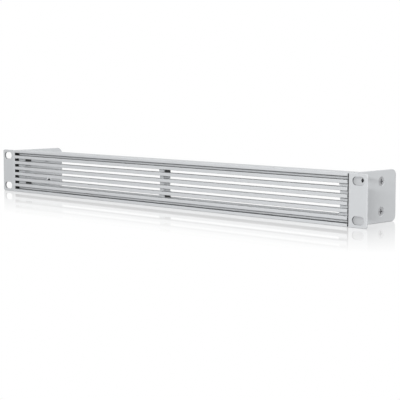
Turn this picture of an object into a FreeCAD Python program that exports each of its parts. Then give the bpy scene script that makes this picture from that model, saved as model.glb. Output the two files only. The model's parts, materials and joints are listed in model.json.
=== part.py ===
import FreeCAD, Part
import math
import os

# Vented blanking panel, one rack unit high, for a 19-inch rack.
# Millimetres, +X to the right, +Y to the rear, +Z up.
# The origin is the centre of the four rack slots, on the rear faces of the ears.
# Depths are measured back from the front face, heights up and down from mid height.

# Rack slots, and how far the panel reaches round them
rack_slot_spacing_x = 465.1
rack_slot_spacing_z = 31.75
rack_slot_length = 12.0
rack_slot_width = 7.0
slot_to_ear_end = 8.75
slot_to_side_plate = 9.25
slot_to_panel_edge = 5.975

# Ear brackets: an ear and a side plate bent from one sheet
side_depth = 63.5
bracket_sheet = 1.5
bend_inside_radius = 0.5
ear_corner_radius = 2.0
side_rear_radius = 5.0
sheet_edge_chamfer = 0.3
bond_thread_diameter = 3.5
bond_collar_wall = 0.6
bond_collar_length = 2.6
bond_hole_depth = 17.75
bond_hole_drop = 7.15

# Cheeks: the inner side plates that the brackets are screwed to
cheek_sheet = 1.2
cheek_inset = 0.4
cheek_gap_to_slats = 1.0
bond_collar_clearance = 0.3

# Rails: extrusions along the top and the bottom, a ledge in front and a channel behind it
rail_sheet = 1.5
rail_depth = 16.0
rail_ledge_height = 2.75
rail_wall_lap = 1.5
rail_rear_lip = 8.55
rail_corner_radius = 0.5

# Slats
slat_count = 6
slat_height = 3.05
slat_depth = 7.0
slat_corner_radius = 0.4
slat_end_clearance = 0.05

# End pads: soft strips between the slat ends and the side plates
pad_thickness = 0.4
pad_setback = 0.75
pad_depth = 5.1
pad_height_inset = 0.5

# Posts: hollow uprights behind the slats, the outer ones wide enough to meet the cheeks;
# each end is a rib with a front plate that a clip straddles
post_width = 5.0
post_wall = 0.6
post_setback = 4.8
post_gap_to_lip = 1.0
post_gap_to_wall = 0.15
post_gap_to_cheek = 0.1
end_post_offset = 8.4
rib_thickness = 3.2
shoulder_flare = 0.9
shoulder_height = 1.0
notch_clearance = 0.05

# Clips: saddles on the ends of the posts, with a head that sits in the rail's channel
clip_clearance = 0.1
clip_leg_lap = 1.5
clip_head_height = 2.9

# Countersunk screws and clinch nuts that join the brackets to the cheeks
screw_diameter = 4.0
screw_head_diameter = 7.5
screw_head_sink = 0.3
screw_length = 4.1
screw_depth = 43.2
screw_spacing = 25.0
screw_clearance = 0.05
recess_span = 4.4
recess_wing = 0.9
recess_depth = 1.8
nut_diameter = 7.6
nut_collar_diameter = 6.0
nut_length = 2.2

# How far a cutter runs past the face that it opens, and how near two places count as one
cut_over = 1.0
same_place = 0.0001

# Places worked out from the sizes above
front = -bracket_sheet
top = rack_slot_spacing_z / 2 + slot_to_panel_edge
ear_end = rack_slot_spacing_x / 2 + slot_to_ear_end
side_outer = rack_slot_spacing_x / 2 - slot_to_side_plate
side_inner = side_outer - bracket_sheet
cheek_inner = side_inner - cheek_sheet
slat_half = side_inner - pad_thickness - slat_end_clearance
bend_outside_radius = bend_inside_radius + bracket_sheet
ledge_edge = top - rail_ledge_height
slot_height = (2 * ledge_edge - slat_count * slat_height) / (slat_count + 1)
slat_pitch = slat_height + slot_height
slat_rear = front + slat_depth
cheek_front = slat_rear + cheek_gap_to_slats
wall_rear = slat_rear + rail_sheet
wall_edge = ledge_edge - slot_height - rail_wall_lap
lip_edge = top - rail_rear_lip
lip_front = front + rail_depth - rail_sheet
lip_rear = front + rail_depth
post_front = front + post_setback
post_rear = lip_front - post_gap_to_lip
post_top = wall_edge - post_gap_to_wall
shoulder_half = post_width / 2 + shoulder_flare
shoulder_top = ledge_edge - slot_height - slat_pitch - clip_leg_lap
screw_y = front + screw_depth


def vector(x, y, z):
    return FreeCAD.Vector(x, y, z)


def box(x_low, x_high, y_low, y_high, z_low, z_high):
    size = (x_high - x_low, y_high - y_low, z_high - z_low)
    return Part.makeBox(*size, vector(x_low, y_low, z_low))


def cylinder_x(radius, x_low, x_high, y, z):
    return Part.makeCylinder(radius, x_high - x_low, vector(x_low, y, z), vector(1, 0, 0))


def mirror_x(shape):
    return shape.mirror(vector(0, 0, 0), vector(1, 0, 0))


def mirror_z(shape):
    return shape.mirror(vector(0, 0, 0), vector(0, 0, 1))


def rounded_face(corners, place):
    """A flat face from (u, v, radius) corners; place turns a corner's (u, v) into a point."""
    points = [vector(u, v, 0) for u, v, radius in corners]
    starts, ends, arcs = [], [], []
    for index, (u, v, radius) in enumerate(corners):
        corner = points[index]
        to_last = (points[index - 1] - corner).normalize()
        to_next = (points[(index + 1) % len(points)] - corner).normalize()
        half_angle = to_last.getAngle(to_next) / 2
        tangent_length = radius / math.tan(half_angle)
        bisector = (to_last + to_next).normalize()
        middle = corner + bisector * (radius / math.sin(half_angle) - radius)
        starts.append(corner + to_last * tangent_length)
        ends.append(corner + to_next * tangent_length)
        arcs.append(middle if radius > 0 else None)
    edges = []
    for index, middle in enumerate(arcs):
        start, end = place(starts[index]), place(ends[index])
        following = place(starts[(index + 1) % len(arcs)])
        if middle is not None:
            edges.append(Part.Arc(start, place(middle), end).toShape())
        edges.append(Part.LineSegment(end, following).toShape())
    return Part.Face(Part.Wire(edges))


def prism_along_x(corners, x_low, x_high):
    """A solid with a (depth, height) section, from x_low to x_high."""
    face = rounded_face(corners, lambda p: vector(x_low, p.x, p.y))
    return face.extrude(vector(x_high - x_low, 0, 0))


def edges_where(shape, test):
    return [edge for edge in shape.Edges if test(edge.BoundBox)]


def same(a, b):
    return abs(a - b) < same_place


def slat_low(index):
    """Underside of a slat, counted from 0 at the top."""
    return ledge_edge - (index + 1) * slat_pitch


def rack_slot(x, z):
    """Cutter for one rounded slot in an ear, running along X."""
    radius = rack_slot_width / 2
    reach = rack_slot_length / 2 - radius
    start = front - cut_over
    length = bracket_sheet + 2 * cut_over
    cutter = box(x - reach, x + reach, start, start + length, z - radius, z + radius)
    for end in (x - reach, x + reach):
        round_end = Part.makeCylinder(radius, length, vector(end, start, z), vector(0, 1, 0))
        cutter = cutter.fuse(round_end)
    return cutter.removeSplitter()


def cone_90(wide_radius, narrow_radius, x_wide):
    """A 90 degree cone on the X axis, from its wide end at x_wide towards the middle of the panel."""
    height = wide_radius - narrow_radius
    return Part.makeCone(wide_radius, narrow_radius, height, vector(x_wide, 0, 0), vector(-1, 0, 0))


def countersink():
    """Cutter for the head of a right-hand bracket screw, open at the side plate's outer face."""
    narrow_radius = screw_diameter / 2 + screw_clearance
    wide_radius = screw_head_diameter / 2 + screw_clearance + screw_head_sink
    return cone_90(wide_radius, narrow_radius, side_outer)


def screw_hole():
    """Countersink and clearance hole for a right-hand bracket screw on the X axis."""
    bore_radius = screw_diameter / 2 + screw_clearance
    bore = cylinder_x(bore_radius, cheek_inner - nut_length - cut_over, side_outer, 0, 0)
    return bore.fuse(countersink()).removeSplitter()


def screw_places():
    return [vector(0, screw_y, sign * screw_spacing / 2) for sign in (1, -1)]


def at(shape, place):
    moved = shape.copy()
    moved.translate(place)
    return moved


def bond_cylinder(diameter, x_low, x_high):
    """A cylinder on the axis of the earth bonding hole of the right-hand side."""
    return cylinder_x(diameter / 2, x_low, x_high, front + bond_hole_depth, top - bond_hole_drop)


def ear_bracket():
    """Right-hand bracket: ear and side plate bent from one sheet, with holes and a drawn tapped collar."""
    rear = front + side_depth
    corners = [
        (side_inner, rear, 0),
        (side_inner, front, bend_outside_radius),
        (ear_end, front, 0),
        (ear_end, 0, 0),
        (side_outer, 0, bend_inside_radius),
        (side_outer, rear, 0),
    ]
    section = rounded_face(corners, lambda p: vector(p.x, p.y, -top))
    plate = section.extrude(vector(0, 0, 2 * top))
    ear_corners = edges_where(plate, lambda b: same(b.XMin, ear_end) and same(b.ZMin, b.ZMax))
    plate = plate.makeFillet(ear_corner_radius, ear_corners)
    rear_corners = edges_where(plate, lambda b: same(b.YMin, rear) and same(b.ZMin, b.ZMax))
    plate = plate.makeFillet(side_rear_radius, rear_corners)
    rims = edges_where(plate, lambda b: same(b.XMin, ear_end) and same(b.YMin, b.YMax))
    plate = plate.makeChamfer(sheet_edge_chamfer, rims)
    for sign in (1, -1):
        plate = plate.cut(rack_slot(rack_slot_spacing_x / 2, sign * rack_slot_spacing_z / 2))
    for place in screw_places():
        plate = plate.cut(at(screw_hole(), place))
    collar_tip = side_outer - bond_collar_length
    collar = bond_cylinder(bond_thread_diameter + 2 * bond_collar_wall, collar_tip, side_outer)
    thread = bond_cylinder(bond_thread_diameter, collar_tip - cut_over, side_outer + cut_over)
    return plate.fuse(collar).removeSplitter().cut(thread)


def cheek():
    """Right-hand inner side plate, welded to the rails' ends, with holes for the nuts and the collar."""
    rear = front + side_depth - cheek_inset
    edge = top - cheek_inset
    corners = [
        (cheek_front, -edge, 0),
        (rear, -edge, side_rear_radius),
        (rear, edge, side_rear_radius),
        (cheek_front, edge, 0),
    ]
    plate = prism_along_x(corners, cheek_inner, side_inner)
    x_low, x_high = cheek_inner - cut_over, side_inner + cut_over
    nut_hole = cylinder_x(nut_collar_diameter / 2, x_low, x_high, 0, 0)
    nut_hole = nut_hole.fuse(countersink())
    for place in screw_places():
        plate = plate.cut(at(nut_hole, place))
    collar_way = bond_thread_diameter + 2 * (bond_collar_wall + bond_collar_clearance)
    return plate.cut(bond_cylinder(collar_way, x_low, x_high))


def top_rail():
    """Ledge, wall behind the outer slat, channel and rear lip; the ends are cut back round the cheeks."""
    inside = top - rail_sheet
    corners = [
        (front, ledge_edge, rail_corner_radius),
        (front, top, rail_corner_radius),
        (lip_rear, top, rail_corner_radius),
        (lip_rear, lip_edge, rail_corner_radius),
        (lip_front, lip_edge, rail_corner_radius),
        (lip_front, inside, 0),
        (wall_rear, inside, 0),
        (wall_rear, wall_edge, 0),
        (slat_rear, wall_edge, 0),
        (slat_rear, ledge_edge, 0),
    ]
    rail = prism_along_x(corners, -slat_half, slat_half)
    relief = box(cheek_inner, side_inner, cheek_front, lip_rear + cut_over, -top, top + cut_over)
    return rail.cut(relief).cut(mirror_x(relief))


def slat(index):
    low = slat_low(index)
    high = low + slat_height
    corners = [
        (front, low, slat_corner_radius),
        (slat_rear, low, slat_corner_radius),
        (slat_rear, high, slat_corner_radius),
        (front, high, slat_corner_radius),
    ]
    return prism_along_x(corners, -slat_half, slat_half)


def end_pad():
    edge = top - pad_height_inset
    pad_front = front + pad_setback
    return box(side_inner - pad_thickness, side_inner, pad_front, pad_front + pad_depth, -edge, edge)


def post(body_right, shoulder_right):
    """Upright on the X origin: hollow between its shoulders, a rib beyond each, notches for the slats."""
    body_left = -post_width / 2
    rib_half = rib_thickness / 2
    plate_rear = post_front + post_wall
    bore_left, bore_right = body_left + post_wall, body_right - post_wall
    bore_rear = post_rear - post_wall
    tube = box(body_left, body_right, post_front, post_rear, -shoulder_top, shoulder_top)
    bore = box(bore_left, bore_right, plate_rear, bore_rear, -shoulder_top, shoulder_top)
    shoulder_low = shoulder_top - shoulder_height
    shoulder = box(-shoulder_half, shoulder_right, post_front, post_rear, shoulder_low, shoulder_top)
    rib = box(-rib_half, rib_half, post_front, post_rear, shoulder_low, post_top)
    plate = box(-shoulder_half, shoulder_right, post_front, plate_rear, shoulder_top, post_top)
    end = shoulder.fuse([rib, plate])
    body = tube.cut(bore).fuse([end, mirror_z(end)]).removeSplitter()
    for index in range(slat_count):
        low = slat_low(index) - notch_clearance
        high = slat_low(index) + slat_height + notch_clearance
        notch_rear = slat_rear + notch_clearance
        body = body.cut(box(-top, top, post_front - cut_over, notch_rear, low, high))
    return body


def top_clip():
    """Saddle on the X origin: legs beside the post's rib, noses behind its front plate, a head above."""
    leg_front = slat_rear + 2 * notch_clearance + clip_clearance
    leg_rear = post_rear - post_wall
    legs = box(-shoulder_half, shoulder_half, leg_front, leg_rear, shoulder_top, post_top)
    nose_front = post_front + post_wall + clip_clearance
    nose_low = slat_low(0) - slot_height + clip_clearance
    nose_high = slat_low(0) - clip_clearance
    noses = box(-shoulder_half, shoulder_half, nose_front, leg_front, nose_low, nose_high)
    rib_way_half = rib_thickness / 2 + clip_clearance
    rib_way = box(-rib_way_half, rib_way_half, front, lip_front, shoulder_top - cut_over, post_top)
    head_front = wall_rear + clip_clearance
    head_rear = lip_front - clip_clearance
    head_high = post_top + clip_head_height
    head = box(-shoulder_half, shoulder_half, head_front, head_rear, post_top, head_high)
    return legs.fuse(noses).cut(rib_way).fuse(head).removeSplitter()


def bracket_screws():
    """The two right-hand countersunk screws, each with a cross recess."""
    head_face = side_outer - screw_head_sink
    shank = cylinder_x(screw_diameter / 2, head_face - screw_length, head_face, 0, 0)
    head = cone_90(screw_head_diameter / 2, screw_diameter / 2, head_face)
    screw = head.fuse(shank).removeSplitter()
    floor = head_face - recess_depth
    reach = recess_span / 2
    half_wing = recess_wing / 2
    wing = box(floor, side_outer + cut_over, -reach, reach, -half_wing, half_wing)
    cross_wing = wing.copy()
    cross_wing.rotate(vector(0, 0, 0), vector(1, 0, 0), 90)
    screw = screw.cut([wing, cross_wing])
    return Part.makeCompound([at(screw, place) for place in screw_places()])


def clinch_nuts():
    """The two right-hand nuts, each with its collar pressed into the cheek."""
    nut = cylinder_x(nut_diameter / 2, cheek_inner - nut_length, cheek_inner, 0, 0)
    collar = cylinder_x(nut_collar_diameter / 2 - screw_clearance, cheek_inner, side_inner, 0, 0)
    nut = nut.fuse(collar).removeSplitter().cut(screw_hole())
    return Part.makeCompound([at(nut, place) for place in screw_places()])


def build():
    parts = {}
    for name, shape in (
        ("ear_bracket", ear_bracket()),
        ("cheek", cheek()),
        ("end_pad", end_pad()),
        ("bracket_screws", bracket_screws()),
        ("clinch_nuts", clinch_nuts()),
    ):
        parts["right_" + name] = shape
        parts["left_" + name] = mirror_x(shape)
    parts["top_rail"] = top_rail()
    parts["bottom_rail"] = mirror_z(top_rail())
    for index in range(slat_count):
        parts[f"slat_{index + 1}"] = slat(index)
    end_post_x = slat_half - end_post_offset
    reach = cheek_inner - post_gap_to_cheek - end_post_x
    parts["centre_post"] = post(post_width / 2, shoulder_half)
    parts["right_post"] = at(post(reach, reach), vector(end_post_x, 0, 0))
    parts["left_post"] = mirror_x(parts["right_post"])
    for name, x in (("left", -end_post_x), ("centre", 0), ("right", end_post_x)):
        place = vector(x, 0, 0)
        parts[f"{name}_top_clip"] = at(top_clip(), place)
        parts[f"{name}_bottom_clip"] = at(mirror_z(top_clip()), place)
    return parts


os.makedirs("parts", exist_ok=True)
for node, shape in build().items():
    shape.exportStep(f"parts/{node}.step")
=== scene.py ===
import json
import math

import bpy
from mathutils import Matrix, Vector


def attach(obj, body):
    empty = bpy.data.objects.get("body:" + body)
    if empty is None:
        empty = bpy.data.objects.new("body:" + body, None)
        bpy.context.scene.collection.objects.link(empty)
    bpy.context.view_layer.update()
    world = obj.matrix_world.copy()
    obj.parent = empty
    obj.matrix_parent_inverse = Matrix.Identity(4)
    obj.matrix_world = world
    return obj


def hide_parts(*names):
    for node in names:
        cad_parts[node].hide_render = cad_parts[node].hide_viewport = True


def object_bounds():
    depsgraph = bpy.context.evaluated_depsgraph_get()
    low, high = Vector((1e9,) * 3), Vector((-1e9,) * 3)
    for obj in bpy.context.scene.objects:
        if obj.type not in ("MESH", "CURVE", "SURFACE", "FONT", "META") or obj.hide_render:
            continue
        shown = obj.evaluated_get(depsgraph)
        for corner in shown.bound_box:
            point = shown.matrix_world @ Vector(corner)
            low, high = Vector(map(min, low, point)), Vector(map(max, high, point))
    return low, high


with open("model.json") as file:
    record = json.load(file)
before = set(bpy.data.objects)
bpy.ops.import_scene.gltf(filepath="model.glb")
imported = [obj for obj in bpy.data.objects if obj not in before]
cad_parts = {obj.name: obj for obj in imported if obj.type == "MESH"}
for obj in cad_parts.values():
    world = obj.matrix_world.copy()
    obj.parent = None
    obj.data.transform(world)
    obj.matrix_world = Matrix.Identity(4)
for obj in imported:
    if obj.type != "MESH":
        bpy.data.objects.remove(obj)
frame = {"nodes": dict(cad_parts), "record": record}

# Vented blanking panel: finishes, floor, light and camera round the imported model.
# Metres, +X to the right, +Y to the rear, +Z up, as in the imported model.

cad_low, cad_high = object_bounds()
scene = bpy.context.scene
mm = 0.001

# Camera, fitted to the rack slots and the edges of the panel in the photograph
camera_place = (0.81914, -0.76986, 0.09639)
camera_turn_deg = 44.840
camera_drop_deg = 5.695
camera_near = 0.01
focal_pixels = 1210.94
frame_pixels = 400
sensor_mm = 36.0

# Light: an even world and two softboxes. A softbox has its turn to the right of the front and its rise
# above the floor, its distance, width and height in metres, and its power in watts
world_level = 0.78
softboxes = {
    "key_softbox": dict(
        turn_deg=25.0, rise_deg=11.0, distance=1.8, width=0.9, height=0.10, power=26.0),
    "side_softbox": dict(
        turn_deg=98.0, rise_deg=30.0, distance=4.0, width=1.6, height=1.6, power=74.0),
}

# Floor: its size, and how much of a mirror and of a shadow it shows at the panel, and how far out
floor_size = 30.0
floor_mirror_share = 0.45
floor_mirror_reach = 0.13
floor_shadow_share = 0.15
floor_shadow_reach = 0.10

# Rack slots of the ears, whose walls are painted darker as shade: the box that the centres of the round
# ends span, deep enough to pass through the sheet, and just over the radius of the ends
rack_slot_spacing = Vector((465.1, 0.0, 31.75)) * mm
rack_slot_half = Vector((2.5, 100.0, 0.0)) * mm
rack_slot_reach = 3.53 * mm

# Painted shade in the first and the last slot, which the rails close behind: the top of the first slat
# and of the bottom rail's ledge is painted darker, and a surface this near to their tops counts
ledge_height = 2.75 * mm
slot_floor_shade_reach = 0.03 * mm

# Thread of the tapped bonding hole in each side plate: M3.5, right-handed, in the drawn collar.
# Its ridge takes a share of the pitch and starts a little way in from the hole's mouth
thread_root_radius = 1.72 * mm
thread_crest_radius = 1.44 * mm
thread_pitch = 0.6 * mm
thread_ridge_share = 0.96
thread_turns = 3
thread_steps = 32
thread_start_depth = 0.4 * mm
bond_hole_mouth = Vector((223.3, 16.25, 14.7)) * mm

# Bracket screws: countersunk M4 with a tapered cross recess. Head, length and places come from the
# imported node. The steps of the turning keep its edges off the corners of the cross
shank_radius = 2.0 * mm
head_edge = 0.15 * mm
tip_chamfer = 0.4 * mm
recess_depth = 1.6 * mm
recess_reach = 2.3 * mm
recess_half_wing = 0.52 * mm
recess_floor_share = 0.82
recess_cut_over = 0.2 * mm
turned_steps = 44
smooth_angle_deg = 30.0
# Nearer the panel's middle than this, the shank is painted dark, as the shade in the bore of its nut
shaded_shank_reach = 219.6 * mm

# Corners of a new piece that are nearer to each other than this are merged
merge_distance = 0.001 * mm


def node_box(name):
    """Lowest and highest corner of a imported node, in metres."""
    node = frame["nodes"][name]
    corners = [node.matrix_world @ vertex.co for vertex in node.data.vertices]
    low = Vector([min(corner[axis] for corner in corners) for axis in range(3)])
    high = Vector([max(corner[axis] for corner in corners) for axis in range(3)])
    return low, high


def linear(hex_colour):
    """An sRGB hex colour as linear RGBA."""
    channels = [int(hex_colour[i:i + 2], 16) / 255 for i in (1, 3, 5)]
    return [c / 12.92 if c <= 0.04045 else ((c + 0.055) / 1.055) ** 2.4 for c in channels] + [1.0]


def add(tree, kind, inputs=None, **settings):
    """A new node of that kind; an input is a value or another node's output."""
    node = tree.nodes.new(kind)
    for name, value in settings.items():
        setattr(node, name, value)
    for socket, value in (inputs or {}).items():
        if isinstance(value, bpy.types.NodeSocket):
            tree.links.new(value, node.inputs[socket])
        else:
            node.inputs[socket].default_value = value
    return node


def new_material(name):
    """An empty material and its node tree."""
    material = bpy.data.materials.new(name)
    material.use_nodes = True
    material.node_tree.nodes.clear()
    return material, material.node_tree


def grain(tree, size_mm, detail, stretch=(1, 1, 1)):
    """Noise on Object coordinates with grains of that size in millimetres, stretched along the axes."""
    place = add(tree, "ShaderNodeTexCoord").outputs["Object"]
    scale = [1 / (size_mm * mm * times) for times in stretch]
    mapped = add(tree, "ShaderNodeMapping", {"Vector": place, "Scale": scale})
    return add(tree, "ShaderNodeTexNoise", {
        "Vector": mapped.outputs["Vector"], "Scale": 1.0, "Detail": detail, "Roughness": 0.55})


def distance_outside(tree, place, middle, half):
    """Distance of a place from a box with that middle and half size, in metres."""
    offset = add(tree, "ShaderNodeVectorMath", {0: place, 1: middle}, operation="SUBTRACT")
    length = add(tree, "ShaderNodeVectorMath", {0: offset.outputs[0]}, operation="ABSOLUTE")
    past = add(tree, "ShaderNodeVectorMath", {0: length.outputs[0], 1: half}, operation="SUBTRACT")
    beyond = add(tree, "ShaderNodeVectorMath", {0: past.outputs[0], 1: (0, 0, 0)}, operation="MAXIMUM")
    return add(tree, "ShaderNodeVectorMath", {0: beyond.outputs[0]}, operation="LENGTH").outputs["Value"]


def finish_surface(tree, tint, pattern, rough, bump_strength, bump_mm, constants):
    """Completes a finish: its roughness and its bump follow the pattern, and the rest is constant."""
    gloss = add(tree, "ShaderNodeMapRange", {
        "Value": pattern.outputs["Fac"], "To Min": rough[0], "To Max": rough[1]})
    bump = add(tree, "ShaderNodeBump", {
        "Height": pattern.outputs["Fac"], "Strength": bump_strength, "Distance": bump_mm * mm})
    shader = add(tree, "ShaderNodeBsdfPrincipled", {
        "Base Color": tint.outputs["Result"],
        "Roughness": gloss.outputs["Result"],
        "Normal": bump.outputs["Normal"],
        **constants})
    add(tree, "ShaderNodeOutputMaterial", {"Surface": shader.outputs["BSDF"]})


def silver_powder_coat():
    """Satin silver-grey powder coat on steel sheet: even, a little soft, with a faint orange-peel skin.

    On the walls of the punched rack slots it is painted darker, as shade.
    """
    material, tree = new_material("silver_powder_coat")
    cloud = grain(tree, size_mm=9.0, detail=3.0)
    peel = grain(tree, size_mm=0.9, detail=2.0)
    coat = add(tree, "ShaderNodeMix", {
        "Factor": cloud.outputs["Fac"], "A": linear("#B8BABC"), "B": linear("#BEC0C2")},
        data_type="RGBA")
    place = add(tree, "ShaderNodeTexCoord").outputs["Object"]
    # The four slots lie alike in the four corners, so they are folded on to one
    any_corner = add(tree, "ShaderNodeVectorMath", {0: place}, operation="ABSOLUTE")
    from_slot = distance_outside(tree, any_corner.outputs[0], rack_slot_spacing / 2, rack_slot_half)
    slot_wall_shade = add(tree, "ShaderNodeMath", {0: from_slot, 1: rack_slot_reach}, operation="LESS_THAN")
    # Painted shade: the walls of the rack slots are darkened
    tint = add(tree, "ShaderNodeMix", {
        "Factor": slot_wall_shade.outputs[0], "A": coat.outputs["Result"], "B": linear("#7C7E80")},
        data_type="RGBA")
    finish_surface(
        tree, tint, peel, rough=(0.45, 0.57), bump_strength=0.05, bump_mm=0.05,
        constants={"Specular IOR Level": 0.18})
    return material


def satin_anodised_aluminium():
    """Bead-blasted and clear anodised extrusion: pale silver, with faint draw lines along its length.

    The floors of the two closed slots are painted darker, as shade, which draws a dark line there.
    """
    material, tree = new_material("satin_anodised_aluminium")
    cloud = grain(tree, size_mm=12.0, detail=3.0)
    # Real draw lines are about 0.1 mm apart. They are drawn coarser, so that they show
    lines = grain(tree, size_mm=0.5, detail=3.0, stretch=(60, 1, 1))
    unshaded_tint = add(tree, "ShaderNodeMix", {
        "Factor": cloud.outputs["Fac"], "A": linear("#BCBEC0"), "B": linear("#C2C4C6")},
        data_type="RGBA")
    place = add(tree, "ShaderNodeTexCoord").outputs["Object"]
    height = add(tree, "ShaderNodeSeparateXYZ", {"Vector": place}).outputs["Z"]
    slat_top = node_box("slat_1")[1].z
    ledge_top = cad_low.z + ledge_height
    on_slat, on_ledge = [
        add(tree, "ShaderNodeMath", {0: height, 1: top, 2: slot_floor_shade_reach}, operation="COMPARE").outputs[0]
        for top in (slat_top, ledge_top)]
    painted_slot_floor_shade = add(tree, "ShaderNodeMath", {0: on_slat, 1: on_ledge}, operation="MAXIMUM")
    # Painted shade: the tops of the first slat and of the ledge, inside the two closed slots, are
    # darkened
    tint = add(tree, "ShaderNodeMix", {
        "Factor": painted_slot_floor_shade.outputs[0], "A": unshaded_tint.outputs["Result"], "B": linear("#787A7C")},
        data_type="RGBA")
    finish_surface(
        tree, tint, lines, rough=(0.46, 0.6), bump_strength=0.06, bump_mm=0.04,
        constants={"Metallic": 0.12, "Specular IOR Level": 0.1})
    return material


def matt_die_casting():
    """Silver-grey die casting: matt, with a sandy skin."""
    material, tree = new_material("matt_die_casting")
    cloud = grain(tree, size_mm=5.0, detail=3.0)
    # The real skin has grains of about 0.2 mm. They are drawn coarser, so that they show
    sand = grain(tree, size_mm=0.6, detail=2.0)
    tint = add(tree, "ShaderNodeMix", {
        "Factor": cloud.outputs["Fac"], "A": linear("#B4B6B8"), "B": linear("#BCBEC0")},
        data_type="RGBA")
    finish_surface(
        tree, tint, sand, rough=(0.5, 0.65), bump_strength=0.12, bump_mm=0.06,
        constants={"Metallic": 0.12, "Specular IOR Level": 0.2})
    return material


def black_nylon():
    """Black moulded nylon: a fine spark-eroded skin with a dull sheen."""
    material, tree = new_material("black_nylon")
    # The real skin has pits of less than 0.1 mm. They are drawn coarser, so that they show
    skin = grain(tree, size_mm=0.4, detail=2.0)
    tint = add(tree, "ShaderNodeMix", {
        "Factor": skin.outputs["Fac"], "A": linear("#161617"), "B": linear("#1E1E1F")},
        data_type="RGBA")
    finish_surface(
        tree, tint, skin, rough=(0.42, 0.58), bump_strength=0.2, bump_mm=0.05,
        constants={"IOR": 1.53})
    return material


def black_rubber():
    """Soft black rubber strip: matt and slightly dusty."""
    material, tree = new_material("black_rubber")
    # Real specks of dust are about 0.1 mm across. They are drawn coarser, so that they show
    dust = grain(tree, size_mm=0.8, detail=3.0)
    tint = add(tree, "ShaderNodeMix", {
        "Factor": dust.outputs["Fac"], "A": linear("#101011"), "B": linear("#19191A")},
        data_type="RGBA")
    finish_surface(
        tree, tint, dust, rough=(0.72, 0.88), bump_strength=0.15, bump_mm=0.05,
        constants={"IOR": 1.52})
    return material


def nickel_plated_steel():
    """Nickel-plated screws: a bright head with small tool marks, and an end painted dark as the shade in
    the bore of its nut.
    """
    material, tree = new_material("nickel_plated_steel")
    # Real tool marks are about 0.1 mm across. They are drawn coarser, so that they show
    marks = grain(tree, size_mm=0.25, detail=3.0)
    plating = add(tree, "ShaderNodeMix", {
        "Factor": marks.outputs["Fac"], "A": linear("#A3A4A6"), "B": linear("#B0B1B3")},
        data_type="RGBA")
    place = add(tree, "ShaderNodeTexCoord").outputs["Object"]
    across = add(tree, "ShaderNodeSeparateXYZ", {"Vector": place}).outputs["X"]
    reach = add(tree, "ShaderNodeMath", {0: across}, operation="ABSOLUTE").outputs[0]
    shank_shade = add(tree, "ShaderNodeMath", {0: reach, 1: shaded_shank_reach}, operation="LESS_THAN")
    # Painted shade: the shank's end, inside the bore of its nut, is drawn near black
    tint = add(tree, "ShaderNodeMix", {
        "Factor": shank_shade.outputs[0], "A": plating.outputs["Result"], "B": linear("#1C1B1A")},
        data_type="RGBA")
    finish_surface(
        tree, tint, marks, rough=(0.24, 0.36), bump_strength=0.08, bump_mm=0.03,
        constants={"Metallic": 1.0})
    return material


def zinc_plated_steel():
    """Zinc-plated clinch nuts: bright and slightly milky, with small tool marks."""
    material, tree = new_material("zinc_plated_steel")
    # Real tool marks are about 0.1 mm across. They are drawn coarser, so that they show
    marks = grain(tree, size_mm=0.25, detail=3.0)
    tint = add(tree, "ShaderNodeMix", {
        "Factor": marks.outputs["Fac"], "A": linear("#C4C6C8"), "B": linear("#D0D2D4")},
        data_type="RGBA")
    finish_surface(
        tree, tint, marks, rough=(0.28, 0.42), bump_strength=0.08, bump_mm=0.03,
        constants={"Metallic": 1.0})
    return material


def shaded_tapped_steel():
    """Bare tapped steel, painted near black as the shade inside the hole, with faint bright crests."""
    material, tree = new_material("shaded_tapped_steel")
    film = grain(tree, size_mm=0.3, detail=3.0)
    # Painted shade: the thread is real, and its near-black colour stands in for the shade inside the hole
    tint = add(tree, "ShaderNodeMix", {
        "Factor": film.outputs["Fac"], "A": linear("#1C1B1A"), "B": linear("#2A2927")},
        data_type="RGBA")
    finish_surface(
        tree, tint, film, rough=(0.34, 0.5), bump_strength=0.1, bump_mm=0.02,
        constants={"Metallic": 1.0})
    return material


def dress_nodes():
    """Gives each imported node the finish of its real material, and returns the finishes by slot."""
    coat = silver_powder_coat()
    extrusion = satin_anodised_aluminium()
    finishes = {
        "bracket": coat,
        "cheek": coat,
        "rail": extrusion,
        "slat": extrusion,
        "post": matt_die_casting(),
        "clip": black_nylon(),
        "end_pad": black_rubber(),
        "screw": nickel_plated_steel(),
        "clinch_nut": zinc_plated_steel(),
    }
    for row in frame["record"]["subparts"]:
        node = frame["nodes"][row["node"]]
        node.data.materials.clear()
        node.data.materials.append(finishes[row["material_slot"]])
    return finishes


def side_turn(side):
    """Half a turn for the left side, so that what points out of the right side points out there."""
    return Matrix.Identity(4) if side == "right" else Matrix.Rotation(math.pi, 4, "Z")


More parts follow.
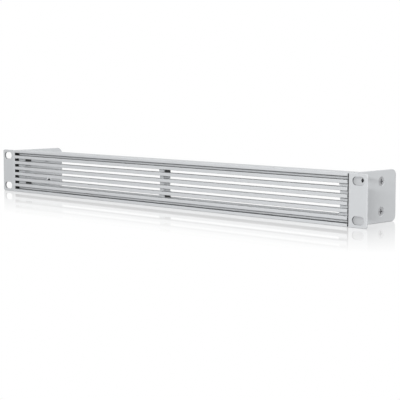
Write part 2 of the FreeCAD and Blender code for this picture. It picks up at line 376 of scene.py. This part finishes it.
def turned_screw(name, head_radius, length):
    """A countersunk blank on the X axis with its face at 0, turned from half its outline."""
    outline = (
        (0.0, 0.0),
        (0.0, head_radius - head_edge),
        (-head_edge, head_radius),
        (shank_radius - head_radius - head_edge, shank_radius),
        (tip_chamfer - length, shank_radius),
        (-length, shank_radius - tip_chamfer),
        (-length, 0.0),
    )
    bpy.ops.object.select_all(action="DESELECT")
    bpy.ops.mesh.primitive_circle_add(vertices=len(outline), radius=head_radius)
    screw = bpy.context.object
    screw.name = name
    for vertex, (along, radius) in zip(screw.data.vertices, outline):
        vertex.co = (along, radius, 0.0)
        vertex.select = False
    # The edge on the axis goes, and the others are turned round it
    for edge in screw.data.edges:
        edge.select = all(screw.data.vertices[index].co.y == 0.0 for index in edge.vertices)
    bpy.ops.object.mode_set(mode="EDIT")
    bpy.ops.mesh.select_mode(type="EDGE")
    bpy.ops.mesh.delete(type="EDGE")
    bpy.ops.object.mode_set(mode="OBJECT")
    turn = screw.modifiers.new("turn", "SCREW")
    turn.axis = "X"
    turn.angle = math.radians(360)
    turn.steps = turned_steps
    turn.render_steps = turned_steps
    bpy.ops.object.modifier_apply(modifier=turn.name)
    bpy.ops.object.mode_set(mode="EDIT")
    bpy.ops.mesh.select_all(action="SELECT")
    bpy.ops.mesh.remove_doubles(threshold=merge_distance)
    bpy.ops.mesh.normals_make_consistent(inside=False)
    bpy.ops.object.mode_set(mode="OBJECT")
    return screw


def cut_recess(screw):
    """Cuts a cross into the screw's face: its outline pulled inwards, and narrower at the floor."""
    wing = [Vector(corner) for corner in (
        (recess_reach, -recess_half_wing),
        (recess_reach, recess_half_wing),
        (recess_half_wing, recess_half_wing))]
    quarter_turns = [Matrix.Rotation(math.radians(90 * quarter), 2) for quarter in range(4)]
    corners = [turn @ corner for turn in quarter_turns for corner in wing]
    bpy.ops.object.select_all(action="DESELECT")
    bpy.ops.mesh.primitive_circle_add(vertices=len(corners), radius=recess_reach, fill_type="NGON")
    cross = bpy.context.object
    for vertex, corner in zip(cross.data.vertices, corners):
        vertex.co = (recess_cut_over, corner.x, corner.y)
    bpy.ops.object.mode_set(mode="EDIT")
    bpy.ops.mesh.select_all(action="SELECT")
    bpy.ops.mesh.extrude_region_move(
        TRANSFORM_OT_translate={"value": (-recess_cut_over - recess_depth, 0, 0)})
    bpy.ops.transform.resize(value=(1, recess_floor_share, recess_floor_share))
    bpy.ops.mesh.select_all(action="SELECT")
    bpy.ops.mesh.normals_make_consistent(inside=False)
    bpy.ops.object.mode_set(mode="OBJECT")
    bpy.ops.object.select_all(action="DESELECT")
    screw.select_set(True)
    bpy.context.view_layer.objects.active = screw
    cut = screw.modifiers.new("cut", "BOOLEAN")
    cut.operation = "DIFFERENCE"
    cut.solver = "EXACT"
    cut.object = cross
    bpy.ops.object.modifier_apply(modifier=cut.name)
    bpy.data.objects.remove(cross)


def bracket_screws(side, material):
    """The two cross-recess screws of one side plate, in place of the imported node."""
    node = f"{side}_bracket_screws"
    low, high = node_box(node)
    head_radius = (high.y - low.y) / 2
    middle_y = (high.y + low.y) / 2
    face = high.x if side == "right" else low.x
    for level, height in (("upper", high.z - head_radius), ("lower", low.z + head_radius)):
        screw = turned_screw(f"{side}_{level}_screw", head_radius, high.x - low.x)
        cut_recess(screw)
        screw.data.transform(Matrix.Translation((face, middle_y, height)) @ side_turn(side))
        screw.data.materials.append(material)
        bpy.ops.object.shade_smooth_by_angle(angle=math.radians(smooth_angle_deg))
        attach(screw, "root")
        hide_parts(node)


def bond_thread(side, material):
    """The thread in the bonding hole of one side plate: a ridge swept round X."""
    half_ridge = thread_ridge_share * thread_pitch / 2
    profile = (
        (-half_ridge, thread_root_radius),
        (0.0, thread_crest_radius),
        (half_ridge, thread_root_radius),
    )
    bpy.ops.object.select_all(action="DESELECT")
    bpy.ops.mesh.primitive_circle_add(vertices=len(profile), radius=thread_pitch)
    ridge = bpy.context.object
    ridge.name = f"{side}_bond_thread"
    for vertex, (along, radius) in zip(ridge.data.vertices, profile):
        vertex.co = (along, radius, 0.0)
    sweep = ridge.modifiers.new("sweep", "SCREW")
    sweep.axis = "X"
    sweep.angle = math.radians(-360)
    sweep.screw_offset = -thread_pitch
    sweep.iterations = thread_turns
    sweep.steps = thread_steps
    sweep.render_steps = thread_steps
    bpy.ops.object.modifier_apply(modifier=sweep.name)
    bpy.ops.object.mode_set(mode="EDIT")
    bpy.ops.mesh.select_all(action="SELECT")
    bpy.ops.mesh.remove_doubles(threshold=merge_distance)
    bpy.ops.mesh.select_all(action="DESELECT")
    bpy.ops.mesh.select_non_manifold()
    bpy.ops.mesh.edge_face_add()
    bpy.ops.mesh.select_all(action="SELECT")
    bpy.ops.mesh.normals_make_consistent(inside=False)
    bpy.ops.object.mode_set(mode="OBJECT")
    start = bond_hole_mouth - Vector((thread_start_depth, 0, 0))
    if side == "left":
        start.x = -start.x
    ridge.data.transform(Matrix.Translation(start) @ side_turn(side))
    ridge.data.materials.append(material)
    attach(ridge, "root")


def seen_directly(tree):
    """1 for rays that show a surface, straight, mirrored or through glass, and 0 for those that light."""
    path = add(tree, "ShaderNodeLightPath")
    seen = path.outputs["Is Camera Ray"]
    for name in ("Is Glossy Ray", "Is Transmission Ray"):
        other = path.outputs[name]
        seen = add(tree, "ShaderNodeMath", {0: seen, 1: other}, operation="MAXIMUM").outputs[0]
    return seen


def glossy_white_floor():
    """White studio floor: it keeps a faint shadow, and mirrors the panel close to where it stands.

    It throws less light back on the panel than it shows.
    """
    material, tree = new_material("glossy_white_floor")
    lit = add(tree, "ShaderNodeBsdfDiffuse", {"Color": linear("#F2F2F2")})
    glow = add(tree, "ShaderNodeEmission", {"Color": linear("#FFFFFF"), "Strength": 1.0})
    place = add(tree, "ShaderNodeTexCoord").outputs["Object"]
    distance = distance_outside(tree, place, (cad_low + cad_high) / 2, (cad_high - cad_low) / 2)
    shadow_fade = add(tree, "ShaderNodeMapRange", {
        "Value": distance, "From Max": floor_shadow_reach, "To Min": floor_shadow_share, "To Max": 0.0})
    shown = add(tree, "ShaderNodeMixShader", {
        "Fac": shadow_fade.outputs["Result"], 1: glow.outputs[0], 2: lit.outputs[0]})
    mirror = add(tree, "ShaderNodeBsdfGlossy", {"Color": linear("#FFFFFF"), "Roughness": 0.04})
    mirror_fade = add(tree, "ShaderNodeMapRange", {
        "Value": distance, "From Max": floor_mirror_reach, "To Min": floor_mirror_share, "To Max": 0.0})
    mirrored = add(tree, "ShaderNodeMixShader", {
        "Fac": mirror_fade.outputs["Result"], 1: shown.outputs[0], 2: mirror.outputs[0]})
    bounce = add(tree, "ShaderNodeBsdfDiffuse", {"Color": linear("#707070")})
    surface = add(tree, "ShaderNodeMixShader", {
        "Fac": seen_directly(tree), 1: bounce.outputs[0], 2: mirrored.outputs[0]})
    add(tree, "ShaderNodeOutputMaterial", {"Surface": surface.outputs[0]})
    return material


def lay_floor():
    """The floor that the panel stands on."""
    bpy.ops.object.select_all(action="DESELECT")
    bpy.ops.mesh.primitive_plane_add(size=floor_size)
    floor = bpy.context.object
    floor.name = "studio_floor"
    floor.data.transform(Matrix.Translation((0, 0, cad_low.z)))
    floor.data.materials.append(glossy_white_floor())


def softbox(name, turn_deg, rise_deg, distance, width, height, power):
    """An area lamp that faces the panel's middle."""
    turn, rise = math.radians(turn_deg), math.radians(rise_deg)
    place = distance * Vector(
        (math.sin(turn) * math.cos(rise), -math.cos(turn) * math.cos(rise), math.sin(rise)))
    bpy.ops.object.light_add(type="AREA", location=place)
    lamp = bpy.context.object
    lamp.name = name
    lamp.data.shape = "RECTANGLE"
    lamp.data.size = width
    lamp.data.size_y = height
    lamp.data.energy = power
    lamp.rotation_euler = (-place).to_track_quat("-Z", "Y").to_euler()


def light_scene():
    """A world that is white where it is seen and lights the panel at its own level, and the softboxes."""
    world = bpy.data.worlds.new("white_studio")
    scene.world = world
    world.use_nodes = True
    tree = world.node_tree
    tree.nodes.clear()
    level = add(tree, "ShaderNodeMapRange", {"Value": seen_directly(tree), "To Min": world_level})
    background = add(tree, "ShaderNodeBackground", {
        "Color": linear("#FFFFFF"), "Strength": level.outputs["Result"]})
    add(tree, "ShaderNodeOutputWorld", {"Surface": background.outputs[0]})
    for name, values in softboxes.items():
        softbox(name, **values)


def place_camera():
    """The photograph's camera."""
    bpy.ops.object.camera_add(location=camera_place)
    camera = bpy.context.object
    camera.rotation_euler = (math.radians(90 - camera_drop_deg), 0, math.radians(camera_turn_deg))
    camera.data.sensor_width = sensor_mm
    camera.data.sensor_fit = "HORIZONTAL"
    camera.data.lens = focal_pixels * sensor_mm / frame_pixels
    camera.data.clip_start = camera_near
    scene.camera = camera


finishes = dress_nodes()
for side in ("right", "left"):
    bracket_screws(side, finishes["screw"])
tapped_steel = shaded_tapped_steel()
for side in ("right", "left"):
    bond_thread(side, tapped_steel)
lay_floor()
light_scene()
place_camera()
scene.view_settings.view_transform = "Standard"
